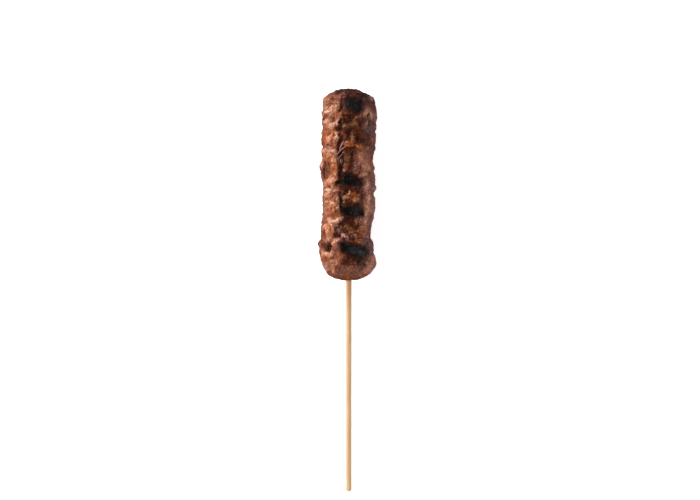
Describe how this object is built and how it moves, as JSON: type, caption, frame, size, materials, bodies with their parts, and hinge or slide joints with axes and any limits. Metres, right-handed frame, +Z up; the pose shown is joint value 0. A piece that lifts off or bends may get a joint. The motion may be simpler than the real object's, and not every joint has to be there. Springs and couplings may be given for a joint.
{
  "type": "kofta skewer",
  "caption": "Long grilled kofta of minced meat pressed by hand round a thin bamboo stick, with charred grill marks, lying on its side with the bare end of the stick as a handle.",
  "frame": {"origin": "on the surface that the skewer lies on, in the middle of the flat underside of the meat, straight under the stick's axis and at the middle of the meat's length", "axes": "+Z up, away from the surface that the skewer lies on; +Y along the stick, from its blunt end towards the closed end of the meat; +X to the right, seen from above with the meat at the top"},
  "size_m": [0.0297, 0.2043, 0.0266],
  "materials": {
    "grilled_mince": "satin",
    "bamboo": "matte"
  },
  "bodies": {
    "root": {"kofta_meat": "grilled_mince", "bamboo_stick": "bamboo"}
  },
  "joints": []
}
